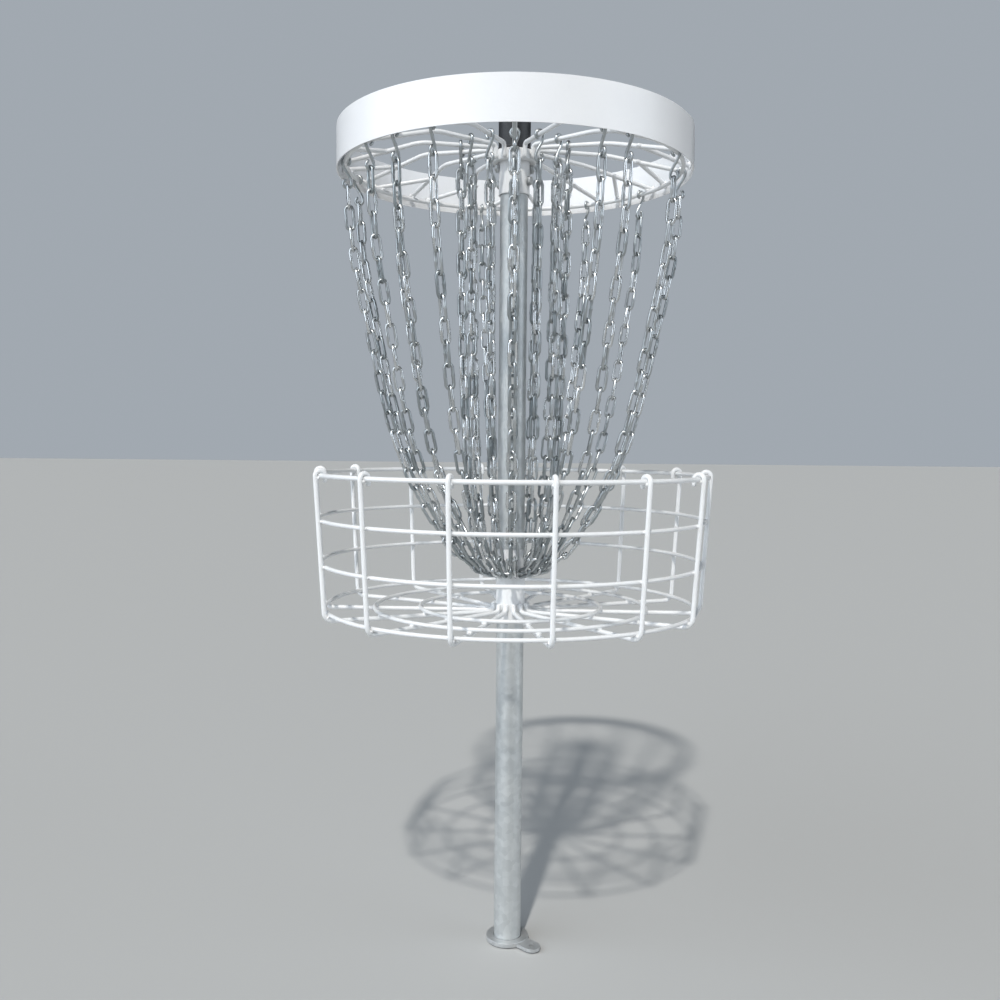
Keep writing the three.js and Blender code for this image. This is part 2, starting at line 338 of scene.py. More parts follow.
# %% Group: settled dust
settled_dust, given, mask = new_group("settled_dust", {"Amount": 0.3, "Clump Size": 0.01}, "Mask")
place = add(settled_dust, "ShaderNodeTexCoord").outputs
facing = add(settled_dust, "ShaderNodeSeparateXYZ", {"Vector": place["Normal"]}).outputs["Z"]
limits = {"From Min": 0.1, "From Max": 1.0, "To Min": 0.15, "To Max": 1.0}
upward = add(settled_dust, "ShaderNodeMapRange", {"Value": facing, **limits}).outputs[0]
clumps = noise(settled_dust, place["Object"], given["Clump Size"], 6.0, 0.7)
limits = {"From Min": 0.42, "From Max": 0.75}
thick = add(settled_dust, "ShaderNodeMapRange", {"Value": clumps, **limits}).outputs[0]
both = calculate(settled_dust, "MULTIPLY", upward, thick)
settled_dust.links.new(calculate(settled_dust, "MULTIPLY", both, given["Amount"]), mask)
print("shared effects:", [g.name for g in bpy.data.node_groups])

# %% [markdown]
# A material starts from a Principled shader wired to its output. `mix_colour` and `spread_number`
# are the two steps that every finish uses: one colour over another by a mask, and a mask turned
# into a range of some number. `bumped` gives the surface its relief.


# %% Helpers for finishes
def new_finish(name, **constants):
    """A material with one Principled shader, whose constant values are set on its own sockets."""
    finish = bpy.data.materials.new(name)
    finish.use_nodes = True
    finish.node_tree.nodes.clear()
    shader = add(finish.node_tree, "ShaderNodeBsdfPrincipled", spaced(constants))
    add(finish.node_tree, "ShaderNodeOutputMaterial", {"Surface": shader.outputs[0]})
    return finish, finish.node_tree, shader.inputs


def mix_colour(tree, mask, below, above):
    """The below colour where the mask is 0 and the above colour where it is 1."""
    return add(tree, "ShaderNodeMix", {0: mask, 6: below, 7: above}, data_type="RGBA").outputs[2]


def spread_number(tree, mask, low, high):
    """A number that goes from low to high as the mask goes from 0 to 1."""
    inputs = {"Value": mask, "To Min": low, "To Max": high}
    return add(tree, "ShaderNodeMapRange", inputs).outputs[0]


def bumped(tree, height, depth):
    """A normal bent by a height map of the given depth in metres."""
    inputs = {"Height": height, "Distance": depth, "Strength": 1.0}
    return add(tree, "ShaderNodeBump", inputs).outputs[0]


print("helpers for finishes are ready")

# %% [markdown]
# ### Powder coat
# White powder coat is a baked polyester skin: half gloss, a faint orange peel two or three
# millimetres across, and slightly thicker in some places than others. A season outside leaves a
# thin film of dust on top of each wire.


# %% Powder coat
DUST = (0.50, 0.47, 0.41, 1.0)


def powder_coat(name, white, dust, peel):
    """White half-gloss coat with orange peel, thickness variation and dust on what faces up."""
    finish, tree, shader = new_finish(name, Metallic=0.0, Coat_Roughness=0.2, IOR=1.5)
    film = place_group(tree, patches, Size=0.11, Contrast=1.6)
    grain = place_group(tree, skin_grain, Size=peel, Roughening=0.35)
    dirt = place_group(tree, settled_dust, Amount=dust, Clump_Size=0.006)
    thin = tuple(0.93 * x for x in white[:2]) + (0.95 * white[2], 1.0)
    coat = mix_colour(tree, film, thin, white)
    tree.links.new(mix_colour(tree, dirt, coat, DUST), shader["Base Color"])
    smooth = spread_number(tree, film, 0.40, 0.30)
    tree.links.new(calculate(tree, "ADD", smooth, dirt), shader["Roughness"])
    tree.links.new(spread_number(tree, film, 0.1, 0.35), shader["Coat Weight"])
    tree.links.new(bumped(tree, grain, 0.00012), shader["Normal"])
    return finish


def coated(name, skins, *nodes):
    """A piece of one of the two white weldments."""
    make_piece(name, skins, wire_coat, nodes=nodes)


wire_coat = powder_coat("white_wire_coat", (0.88, 0.89, 0.89, 1.0), dust=0.35, peel=0.0028)
sheet_coat = powder_coat("white_sheet_coat", (0.90, 0.905, 0.91, 1.0), dust=0.15, peel=0.0035)
print("made", wire_coat.name, "and", sheet_coat.name)

# %% [markdown]
# ### Hot-dip galvanising
# The pole is dipped in molten zinc, which freezes into flat crystals. Each one reflects a little
# differently, so a Voronoi texture with one grey for each cell gives the spangle. The zinc runs off
# along the tube and later weathers to a dull, cloudy grey, which the stretched patches add.


# %% Galvanised steel
def galvanised(name, dark, bright, spangle, stretch):
    """Zinc crystals with their own greys, under cloudy streaks along the tube."""
    finish, tree, shader = new_finish(name, Metallic=0.6)
    place = add(tree, "ShaderNodeTexCoord").outputs["Object"]
    crystals = {"Vector": place, "Scale": 1 / spangle, "Randomness": 1.0}
    cells = add(tree, "ShaderNodeTexVoronoi", crystals)
    shade = add(tree, "ShaderNodeSeparateColor", {"Color": cells.outputs["Color"]}).outputs[0]
    cloud = place_group(tree, patches, Size=0.03, Stretch=stretch, Contrast=1.5)
    runs = place_group(tree, patches, Size=0.009, Stretch=14.0, Contrast=1.7)
    grain = place_group(tree, skin_grain, Size=0.0012, Roughening=0.6)
    crystal = mix_colour(tree, spread_number(tree, shade, 0.3, 0.7), dark, bright)
    matt = tuple(0.8 * x for x in bright)
    weathered = mix_colour(tree, spread_number(tree, cloud, 0.0, 0.75), crystal, matt)
    streaked = mix_colour(tree, spread_number(tree, runs, 0.0, 0.35), weathered, dark)
    tree.links.new(streaked, shader["Base Color"])
    glint = spread_number(tree, shade, 0.0, 0.12)
    dull = calculate(tree, "ADD", glint, spread_number(tree, cloud, 0.3, 0.5))
    tree.links.new(dull, shader["Roughness"])
    relief = calculate(tree, "MULTIPLY_ADD", runs, 0.6, grain)
    tree.links.new(bumped(tree, relief, 0.0001), shader["Normal"])
    return finish


dark, bright = (0.40, 0.43, 0.44, 1.0), (0.80, 0.82, 0.82, 1.0)
pole_zinc = galvanised("galvanised_pole", dark, bright, spangle=0.009, stretch=5.0)
dark, bright = (0.40, 0.42, 0.43, 1.0), (0.72, 0.73, 0.73, 1.0)
fitting_zinc = galvanised("galvanised_fitting", dark, bright, spangle=0.006, stretch=1.0)
print("made", pole_zinc.name, "and", fitting_zinc.name)

# %% [markdown]
# ### Bright zinc
# Chain is barrel-plated after welding. The plating is bright, but the links knock against each
# other in the barrel, so some come out more polished than others. The `tone` attribute carries
# that from link to link, and fine grit breaks up the highlights.


# %% Bright zinc plate
ZINC_BLOOM = (0.22, 0.25, 0.27, 1.0)


def bright_zinc(name, dull, bright):
    """Plated steel whose colour and gloss follow the tone of each link, with fine grit."""
    finish, tree, shader = new_finish(name, Metallic=0.97)
    tone = add(tree, "ShaderNodeAttribute", attribute_name="tone").outputs["Fac"]
    bloom = place_group(tree, patches, Size=0.02, Contrast=1.8)
    grain = place_group(tree, skin_grain, Size=0.0015, Roughening=0.6)
    plated = mix_colour(tree, tone, dull, bright)
    bloomed = mix_colour(tree, spread_number(tree, bloom, 0.0, 0.4), plated, ZINC_BLOOM)
    tree.links.new(bloomed, shader["Base Color"])
    gloss = spread_number(tree, tone, 0.30, 0.17)
    tree.links.new(calculate(tree, "MULTIPLY_ADD", bloom, 0.14, gloss), shader["Roughness"])
    tree.links.new(bumped(tree, grain, 0.00008), shader["Normal"])
    return finish


chain_zinc = bright_zinc("bright_zinc_chain", (0.34, 0.37, 0.38, 1.0), (0.88, 0.89, 0.89, 1.0))
print("made", chain_zinc.name)

# %% [markdown]
# ### Black plastic
# The cap is a moulded stopper with a fine spark texture. It holds more dust than anything else on
# the object, because it lies flat at the top.


# %% Black plastic
CAP_DUST = (0.30, 0.28, 0.25, 1.0)


def moulded_plastic(name, colour):
    """Dark plastic with a spark texture, a slow change of gloss and dust on top."""
    finish, tree, shader = new_finish(name, Metallic=0.0, IOR=1.46)
    gloss = place_group(tree, patches, Size=0.02, Contrast=1.4)
    spark = place_group(tree, skin_grain, Size=0.0009, Roughening=0.7)
    dirt = place_group(tree, settled_dust, Amount=0.5, Clump_Size=0.004)
    worn = mix_colour(tree, gloss, colour, tuple(2.2 * x for x in colour[:3]) + (1.0,))
    tree.links.new(mix_colour(tree, dirt, worn, CAP_DUST), shader["Base Color"])
    tree.links.new(spread_number(tree, gloss, 0.36, 0.52), shader["Roughness"])
    tree.links.new(bumped(tree, spark, 0.00015), shader["Normal"])
    return finish


cap_plastic = moulded_plastic("black_cap_plastic", (0.012, 0.013, 0.015, 1.0))
print("made", cap_plastic.name)

# %% [markdown]
# ## The pole, its cap and the ground sleeve
# The pole is a length of 48 mm tube. A plastic stopper closes its top. It stands in a sleeve set
# in the ground, whose collar carries a tab with a hole for a padlock.

# %% Pole and cap
POLE_RADIUS, POLE_WALL = 0.02415, 0.0032
pole_low, pole_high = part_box("pole")
pole_outline = tube_outline(POLE_RADIUS - POLE_WALL, POLE_RADIUS, pole_low.z, pole_high.z)
make_piece("pole_tube", [turned(pole_outline)], pole_zinc, nodes=["pole"])

CAP_BORE, CAP_LIP, CAP_ROOF, CAP_PINHOLE = 0.0247, 0.0285, 0.0035, 0.0005
cap_low, cap_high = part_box("pole_cap")
cap_outline = softened(
    [
        (CAP_BORE, cap_low.z),
        (CAP_LIP, cap_low.z),
        (CAP_LIP, cap_low.z + 0.006),
        (0.0278, cap_low.z + 0.007),
        (0.0280, cap_high.z - 0.005),
        (0.0230, cap_high.z),
        (CAP_PINHOLE, cap_high.z),
        (CAP_PINHOLE, cap_high.z - CAP_ROOF),
        (CAP_BORE, cap_high.z - CAP_ROOF),
    ],
    0.0004,
)
make_piece("cap_moulding", [turned(cap_outline)], cap_plastic, nodes=["pole_cap"])

# %% [markdown]
# The tab is a flat plate with a hole. Seen from the hole's centre, its edge is a half circle on one
# side and a straight-sided strip on the other, so the distance to the edge is a simple function of
# direction. The section between hole and edge is carried round that function.

# %% Ground sleeve and lock tab
BORE, OUTSIDE, COLLAR = 0.025, 0.03015, 0.038
BURIED_FOOT, COLLAR_FOOT, COLLAR_TOP = -0.3, 0.002, 0.010
tube_side = [(BORE, BURIED_FOOT), (OUTSIDE, BURIED_FOOT), (OUTSIDE, COLLAR_FOOT)]
collar_side = [(COLLAR, COLLAR_FOOT), (COLLAR, COLLAR_TOP), (BORE, COLLAR_TOP)]
sleeve_outline = softened(tube_side + collar_side, 0.0009)
TAB_ANGLE, HOLE_AT, TAB_HALF, TAB_END, TINY = 48, 0.059, 0.015, 0.026, 1e-6


def tab_plate(foot, top, hole, turns=48):
    """A plate round a hole: edge distance = half width ahead, and half width / |sin| or the strip's
    end / |cos| behind, whichever is less."""
    way = np.linspace(0, 2 * np.pi, turns, endpoint=False)
    beside = TAB_HALF / np.maximum(abs(np.sin(way)), TINY)
    behind = TAB_END / np.maximum(abs(np.cos(way)), TINY)
    edge = np.where(np.cos(way) >= 0, TAB_HALF, np.minimum(beside, behind))
    share_height = softened([(0, foot), (1, foot), (1, top), (0, top)], 0.0004)
    flat = np.clip(share_height[:, :1], 0, 1)
    reach = hole + (edge - hole) * flat
    out, across = HOLE_AT + reach * np.cos(way), reach * np.sin(way)
    turn = np.radians(TAB_ANGLE)
    x = out * np.sin(turn) + across * np.cos(turn)
    y = -out * np.cos(turn) + across * np.sin(turn)
    return skin(np.stack([x, y, np.broadcast_to(share_height[:, 1:], x.shape)], -1), ring=True)


make_piece(
    "ground_sleeve_steel",
    [turned(sleeve_outline), tab_plate(foot=0.003, top=0.009, hole=0.0055)],
    fitting_zinc,
    nodes=["ground_sleeve"],
)

# %% [markdown]
# ## Weld beads
# Wherever two wires cross, a small bead of weld joins them, and the powder coat covers it. A bead
# is a ball stretched along the joint, with ripples where the torch paused. All the beads of one
# kind are copies of one grid, turned and moved with one array expression.


# %% Beads
BEAD_ROWS, BEAD_SIDES, STEEP = 9, 8, 0.8


def beads(centres, ways, length, width):
    """Stretched balls: width sin(t) (1 + 0.1 cos 9t) round a line, length cos(t) along each way."""
    t = np.radians(np.linspace(8, 172, BEAD_ROWS))
    ways = unit(np.broadcast_to(ways, centres.shape))
    hint = np.where(abs(ways[:, 2:]) > STEEP, [[1.0, 0, 0]], UP)
    path = centres[:, None] + ways[:, None] * (length * np.cos(t))[:, None]
    size = width * np.sin(t) * (1 + 0.1 * np.cos(9 * t))
    return skin(tube(path, size, hint[:, None], BEAD_SIDES))


print("a bead has", (BEAD_ROWS + 1) * BEAD_SIDES, "faces")

# %% [markdown]
# ## The basket
# The basket is all wire: a rim, three hoops, two floor rings and fourteen ribs. Each rib hooks over
# the rim, runs down outside the hoops, turns in under the floor and turns up beside the sleeve.
# The rings nest against the ribs, so their radii follow from the rib's own line.

# %% Rings of the basket
RIM_RADIUS, RIM_HEIGHT, RIB_WIRE, HOOP_WIRE = 0.342, 0.846, 0.004, 0.0035
RIB_FOOT_RADIUS, RIB_BEND, FLOOR_HEIGHT, TOUCH = 0.3361, 0.016, 0.604, 0.0003
UPPER_HEIGHT, LOWER_HEIGHT, OUTER_FLOOR, INNER_FLOOR = 0.770, 0.694, 0.240, 0.160
FIRST_RIB = 10.6
RIB_DEGREES = FIRST_RIB + STEP * np.arange(COUNT)


def rib_radius(height):
    """Distance of the rib's upright from the pole, a straight line from its bend to the rim."""
    foot = FLOOR_HEIGHT + RIB_BEND
    rim = RIM_RADIUS + 2 * RIB_WIRE + TOUCH
    return RIB_FOOT_RADIUS + (rim - RIB_FOOT_RADIUS) * (height - foot) / (RIM_HEIGHT - foot)


nest = (RIB_BEND - RIB_WIRE - HOOP_WIRE - TOUCH) * np.sqrt(0.5)
floor_ring_height = FLOOR_HEIGHT + RIB_WIRE + HOOP_WIRE + TOUCH
inside = RIB_WIRE + HOOP_WIRE + TOUCH
rings = {
    "rim_ring": (RIM_RADIUS, RIB_WIRE, RIM_HEIGHT),
    "upper_ring": (rib_radius(UPPER_HEIGHT) - inside, HOOP_WIRE, UPPER_HEIGHT),
    "lower_ring": (rib_radius(LOWER_HEIGHT) - inside, HOOP_WIRE, LOWER_HEIGHT),
    "bottom_ring": (RIB_FOOT_RADIUS - RIB_BEND + nest, HOOP_WIRE, FLOOR_HEIGHT + RIB_BEND - nest),
    "outer_floor_ring": (OUTER_FLOOR, HOOP_WIRE, floor_ring_height),
    "inner_floor_ring": (INNER_FLOOR, HOOP_WIRE, floor_ring_height),
}
for node, (radius, wire, height) in rings.items():
    coated(node + "_wire", [hoop(radius, wire, height)], node)

# %% [markdown]
# A rib lies in one upright plane through the pole, so its path is a list of distances and heights:
# straight runs and arcs, joined end to end. The side direction of its section is the one square to
# that plane.


# %% Ribs
def bend(centre, radius, start, end, steps):
    """Distances and heights along an arc: centre + radius (cos t, sin t), t from start to end."""
    t = np.radians(np.linspace(start, end, steps + 1))
    return np.stack([centre[0] + radius * np.cos(t), centre[1] + radius * np.sin(t)], axis=-1)


OVER_RIM, RIB_END_RADIUS, TURN_UP = 2 * RIB_WIRE + TOUCH, 0.0303, 0.010
rib_line = np.concatenate(
    [
        [[RIM_RADIUS - OVER_RIM, RIM_HEIGHT - 0.008]],
        bend((RIM_RADIUS, RIM_HEIGHT), OVER_RIM, 180, 0, 10),
        [[rib_radius(h), h] for h in (0.842, UPPER_HEIGHT, LOWER_HEIGHT, 0.63)],
        bend((RIB_FOOT_RADIUS - RIB_BEND, FLOOR_HEIGHT + RIB_BEND), RIB_BEND, 0, -90, 6),
        [[r, FLOOR_HEIGHT] for r in (0.31, OUTER_FLOOR, INNER_FLOOR, 0.08, 0.048)],
        bend((RIB_END_RADIUS + TURN_UP, FLOOR_HEIGHT + TURN_UP), TURN_UP, 270, 180, 5),
        [[RIB_END_RADIUS, FLOOR_HEIGHT + TURN_UP + 0.001]],
    ]
)
for i, degrees in enumerate(RIB_DEGREES):
    path, sizes = with_round_ends(around(rib_line[:, 0], degrees, rib_line[:, 1]), RIB_WIRE)
    rib = skin(tube(path, sizes, around(1.0, degrees + 90, 0.0)))
    coated(f"rib_wire_{i + 1:02d}", [rib], f"basket_rib_{i + 1:02d}")

# %% [markdown]
# The welds of the basket: one at each crossing of a rib with a ring, on the rib's inner side, and
# two where each rib's end stands against the sleeve.

# %% Basket sleeve and welds
SLEEVE_INSIDE = 0.0245
basket_sleeve = turned(tube_outline(SLEEVE_INSIDE, outer=0.026, foot=0.590, top=0.715))
coated("basket_sleeve_tube", [basket_sleeve], "basket_sleeve")
WELD_DEPTH = 0.0042  # from a wire's middle to the middle of the beads beside it
crossings = [
    (RIM_RADIUS + 0.0036, 0.8418),
    (rib_radius(UPPER_HEIGHT) - WELD_DEPTH, UPPER_HEIGHT),
    (rib_radius(LOWER_HEIGHT) - WELD_DEPTH, LOWER_HEIGHT),
    (RIB_FOOT_RADIUS - 0.0062, FLOOR_HEIGHT + 0.0062),
    (OUTER_FLOOR, FLOOR_HEIGHT + WELD_DEPTH),
    (INNER_FLOOR, FLOOR_HEIGHT + WELD_DEPTH),
]
round_pole = around(1.0, RIB_DEGREES + 90, 0.0)
ring_welds = [
    beads(around(radius, RIB_DEGREES, height), round_pole, 0.0058, 0.0036)
    for radius, height in crossings
]
end_welds = [
    beads(around(0.0272, RIB_DEGREES + off, 0.612), UP, 0.006, 0.0022) for off in (-6, 6)
]
coated("basket_welds", ring_welds + end_welds)

# %% [markdown]
# ## The chain head
# The head is one weldment: a sleeve on the pole, a hub ring round it, fourteen rods that leave the
# hub like spokes, a hanger ring below the rods and the sheet band outside them. Each rod bends
# sideways part of the way out and slopes down to cross the hanger ring, and a brace leaves its
# outer part on the other side, so the rods make a row of triangles at the band.

# %% Sleeve, hub and hanger ring
HUB_TOP = 1.405
head_sleeve = turned(tube_outline(SLEEVE_INSIDE, outer=0.0270, foot=1.3315, top=HUB_TOP))
coated("head_sleeve_tube", [head_sleeve], "head_sleeve")
hub = turned(tube_outline(0.0274, outer=0.038, foot=1.3866, top=HUB_TOP, soft=0.0016))
coated("hub_ring", [hub])
HANGER_RADIUS, HANGER_HEIGHT, ROD_WIRE = 0.290, 1.374, 0.004
coated("hanger_ring_wire", [hoop(HANGER_RADIUS, ROD_WIRE, HANGER_HEIGHT)], "head_ring")

# %% [markdown]
# All fourteen rods are one grid with a leading axis of copies. The corner where a rod turns
# sideways is rounded with a short parabola, like a rod bent cold over a former.

# %% Rods and braces
ROD_DEGREES = STEP * np.arange(COUNT)
ROD_HEIGHT, ROD_BEND, ROD_END, ROD_SPREAD = 1.412, 0.164, 0.2994, 9
LEG_RADIUS, LEG_FOOT, LEG_BEND, BRACE_FOOT = 0.041, 1.3915, 0.006, 0.222
rod_end_fall = (ROD_HEIGHT - HANGER_HEIGHT - 2 * ROD_WIRE - TOUCH) / (HANGER_RADIUS - ROD_BEND)
rod_end_height = ROD_HEIGHT - rod_end_fall * (ROD_END - ROD_BEND)


def rounded_corner(before, corner, after, steps=8):
    """Points on the parabola (1-t)^2 before + 2t(1-t) corner + t^2 after, for every rod at once."""
    t = np.linspace(0, 1, steps + 1)[:, None]
    before, corner, after = before[:, None], corner[:, None], after[:, None]
    return (1 - t) ** 2 * before + 2 * t * (1 - t) * corner + t**2 * after


corner = around(ROD_BEND, ROD_DEGREES, ROD_HEIGHT)
tip = around(ROD_END, ROD_DEGREES - ROD_SPREAD, rod_end_height)
brace_tip = around(ROD_END, ROD_DEGREES + ROD_SPREAD, rod_end_height)
climb = [[LEG_RADIUS, LEG_FOOT], [LEG_RADIUS, 1.398]]
elbow = bend((LEG_RADIUS + LEG_BEND, ROD_HEIGHT - LEG_BEND), LEG_BEND, 180, 90, 5)
spoke = [[0.06, ROD_HEIGHT], [0.11, ROD_HEIGHT]]
leg = np.concatenate([climb, elbow, spoke])
leg = around(leg[:, 0], ROD_DEGREES[:, None], leg[:, 1])
before_corner = around(ROD_BEND - 0.014, ROD_DEGREES, ROD_HEIGHT)
turn_in = rounded_corner(before_corner, corner, corner + 0.11 * (tip - corner))
outer_part = corner[:, None] + np.array([0.3, 0.6, 1.0])[:, None] * (tip - corner)[:, None]
rods, sizes = with_round_ends(np.concatenate([leg, turn_in, outer_part], axis=1), ROD_WIRE)
sideways = around(1.0, ROD_DEGREES[:, None] + 90, 0.0)
coated("head_rod_wires", [skin(tube(rods, sizes, sideways))], "head_rods")

brace_foot = corner + (BRACE_FOOT - ROD_BEND) / (ROD_END - ROD_BEND) * (tip - corner)
share = np.linspace(0, 1, 5)[:, None]
braces = brace_foot[:, None] + share * (brace_tip - brace_foot)[:, None]
braces, sizes = with_round_ends(braces, ROD_WIRE)
coated("head_brace_wires", [skin(tube(braces, sizes, UP))])

# %% [markdown]
# The head's welds: where each rod and brace crosses the hanger ring and where each meets the band,
# at the foot of each brace, and down both sides of each rod's leg at the hub.

# %% Head welds
ring_share = (HANGER_RADIUS - ROD_BEND) / (ROD_END - ROD_BEND)
rod_cross = corner + ring_share * (tip - corner)
brace_share = (HANGER_RADIUS - BRACE_FOOT) / (ROD_END - BRACE_FOOT)
brace_cross = brace_foot + brace_share * (brace_tip - brace_foot)
WELD_AT_BAND = 0.3008  # beads end just short of the sheet's inner face
WELD_AT_HUB, HUB_WELD_SPREAD = 0.0384, 4.2
ring_welds = [
    beads(rod_cross - WELD_DEPTH * UP, unit(tip - corner), 0.006, 0.0036),
    beads(brace_cross - WELD_DEPTH * UP, unit(brace_tip - brace_foot), 0.006, 0.0036),
]
band_welds = [
    beads(around(WELD_AT_BAND, ROD_DEGREES + off, rod_end_height), UP, 0.0075, 0.0034)
    for off in (-ROD_SPREAD, ROD_SPREAD)
]
brace_welds = [beads(brace_foot, unit(brace_tip - brace_foot), 0.0085, 0.0047)]
hub_welds = [
    beads(around(WELD_AT_HUB, ROD_DEGREES + off, 1.396), UP, 0.0075, 0.0022)
    for off in (-HUB_WELD_SPREAD, HUB_WELD_SPREAD)
]
coated("head_welds", ring_welds + band_welds + brace_welds + hub_welds)

# %% [markdown]
# The band is one strip of sheet, rolled into a hoop and lapped over itself at the right, where the
# outer end has its top corner cut off. So its line isn't a circle: it runs once round and on past
# its own start, and steps out by one thickness just before the lap.

# %% The band
BAND_RADIUS, SHEET, BAND_FOOT, BAND_TOP = 0.306, 0.0016, 1.364, 1.434
LAP_START, LAP_END, LAP_CLIP, CLIP_DEPTH = 72.0, 81.0, 3.1, 0.016
LAP_STEP = 1.04 * SHEET


def band_strip(stations=280):
    """A flat section carried round: middle radius = R - sheet / 2, plus one sheet where the strip
    lies over itself, eased in by 3s^2 - 2s^3; the top falls off at 45 degrees at the outer end."""
    clip_start = 360 + LAP_END - LAP_CLIP
    once_round, lapped = np.linspace(LAP_START, 425, stations), np.linspace(426, clip_start, 10)
    degrees = np.concatenate([once_round, lapped, [360 + LAP_END]])
    s = np.clip((degrees - 424) / 7, 0, 1)
    middle = BAND_RADIUS - SHEET / 2 + LAP_STEP * (3 * s**2 - 2 * s**3)
    section = softened([(-0.5, 0), (0.5, 0), (0.5, 1), (-0.5, 1)], 0.006, steps=2)
    section = np.clip(section, [-0.5, 0], [0.5, 1])
    top = BAND_TOP - np.clip((degrees - clip_start) / LAP_CLIP, 0, 1) * CLIP_DEPTH
    distance = middle[:, None] + section[:, 0] * SHEET
    height = BAND_FOOT + (top - BAND_FOOT)[:, None] * section[:, 1]
    return skin(around(distance, degrees[:, None], height))


make_piece("band_strip", [band_strip()], sheet_coat, nodes=["band"])

# %% [markdown]
# ## Bolts
# Bolts hold both sleeves to the pole. A hexagon is at distance apothem / cos(angle from the middle
# of the flat), and the chamfer of a bolt head is where that meets a cone, so the head's radius is
# the lesser of the two at each height.


# %% Hexagon bolts
def hexagon(apothem, heights, caps, degrees, height, start, sides=48):
    """Rows at distances out from the pole, each of radius min(apothem / cos, cap), at one angle
    round the pole and one height."""
    a = np.linspace(0, 2 * np.pi, sides, endpoint=False)
    flat = apothem / np.cos((a + np.pi / 6) % (np.pi / 3) - np.pi / 6)
    radius = np.minimum(flat, np.asarray(caps)[:, None])
    sideways = around(1.0, degrees + 90, 0.0)
    rows = around(start + np.asarray(heights), degrees, height)[:, None]
    ways = np.cos(a)[:, None] * sideways + np.sin(a)[:, None] * UP
    return skin(rows + radius[..., None] * ways)


HALF_HEX = 0.0066  # half the width across the flats
NO_HEX = 0.02  # a hexagon wider than every cap, so that only the round caps count


def bolt_ends(name, degrees, height, seat):
    """The head with its washer at one side of the pole, and the nut and bolt end at the other. The
    seat is the distance from the pole's axis to the sleeve's outside."""
    front, back = (degrees, height), (degrees + 180, height)
    rows, caps = [0, 0, 0.0045, 0.0055, 0.0055], [0.004, 0.0074, 0.0077, 0.0062, 0.005]
    head = hexagon(HALF_HEX, rows, caps, *front, seat + 0.0013)
    rows, caps = [0, 0, 0.0003, 0.001, 0.0012], [0.005, 0.0082, 0.0086, 0.0086, 0.0080]
    washer = hexagon(NO_HEX, rows, caps, *front, seat)
    rows, caps = [0, 0, 0.0008, 0.0047, 0.0055], [0.005, 0.0066, 0.0077, 0.0077, 0.0064]
    nut = hexagon(HALF_HEX, rows, caps, *back, seat + 0.0001)
    stub = hexagon(NO_HEX, [0, 0.0065, 0.0075], [0.004, 0.004, 0.0030], *back, seat + 0.0001)
    ends = [head, washer, nut, stub]
    make_piece(name + "_steel", ends, fitting_zinc, nodes=[name])


bolt_ends("head_bolt_upper", 97, 1.3775, 0.0271)
bolt_ends("head_bolt_lower", 62, 1.354, 0.0271)
bolt_ends("basket_bolt", 5, 0.694, 0.0261)

# %% [markdown]
# ## Chain
# A link is a round bar bent into a loop with straight sides, closed by a small butt weld in the
# middle of one side. Links of a hanging chain are tight, so the pitch equals the inside length,
# and each link stands square to the last. Only the last link must lie in a given plane, the one
# that the loose ring passes through, so each chain takes up what is left as a slow twist.


# %% One link
LINK_BAR, LINK_HALF_WIDTH, LINK_SIDES = 0.0026, 0.0065, 6
WELD_HALF_LENGTH, WELD_SWELL = 0.0028, 1.28


def link_loop(pitch):
    """A loop's places along and across the chain, and its bar's radius at each. The ends are half
    circles, and the bar swells at the weld."""
    reach = pitch / 2 + LINK_BAR - LINK_HALF_WIDTH
    t = np.radians(np.linspace(0, 180, 5))
    top = np.stack([reach + LINK_HALF_WIDTH * np.sin(t), LINK_HALF_WIDTH * np.cos(t)], -1)
    weld = np.array([[x, -LINK_HALF_WIDTH] for x in (WELD_HALF_LENGTH, 0, -WELD_HALF_LENGTH)])
    loop = np.concatenate([top, weld, -top, [[0, LINK_HALF_WIDTH]]])
    bar = np.full(len(loop), LINK_BAR)
    bar[len(top) + 1] *= WELD_SWELL
    return loop, bar


print("a link has", len(link_loop(0.035)[0]) * LINK_SIDES, "faces")

# %% [markdown]
# The upper end of each chain is an S-hook over the hanger ring or over a rod: an arc, a slanting
# shank and the same arc again the other way up.


# %% The hook
HOOK_BAR, HOOK_ARC, HOOK_LENGTH = 0.0025, 0.0070, 0.038


def hook_line():
    """Along and across places of an S: an arc over the top from -60 to 180 degrees, a shank
    (-arc cos(pi s), -length s), and the same arc below, turned half a circle."""
    t = np.radians(np.linspace(-60, 180, 13))
    upper = np.stack([HOOK_ARC * np.sin(t), HOOK_ARC * np.cos(t)], -1)
    s = np.linspace(0, 1, 8)[1:-1]
    shank = np.stack([-HOOK_LENGTH * s, -HOOK_ARC * np.cos(np.pi * s)], -1)
    lower = np.array([-HOOK_LENGTH, 0]) - upper[::-1]
    return np.concatenate([upper, shank, lower])


print("a hook is", round(HOOK_LENGTH + 2 * (HOOK_ARC + HOOK_BAR), 4), "m long")

# %% [markdown]
# A chain hangs in the upright plane through its two ends, on the curve that the CAD gives. The
# curve goes smoothly through a few listed places. Links are then set out along it at equal steps
# of its length.


# %% Hanging lines
def smooth_line(points, samples=600):
    """A Catmull-Rom curve: each span is the cubic that leaves and arrives in the direction of the
    neighbouring points."""
    ends = [2 * points[:1] - points[1:2], points, 2 * points[-1:] - points[-2:-1]]
    padded = np.concatenate(ends)
    t = np.linspace(0, len(points) - 1, samples)
    i = np.minimum(t.astype(int), len(points) - 2)
    f = (t - i)[:, None]
    a, b, c, d = (padded[i + k] for k in range(4))
    bowed, skewed = 2 * a - 5 * b + 4 * c - d, 3 * b - a - 3 * c + d
    return 0.5 * (2 * b + (c - a) * f + bowed * f**2 + skewed * f**3)


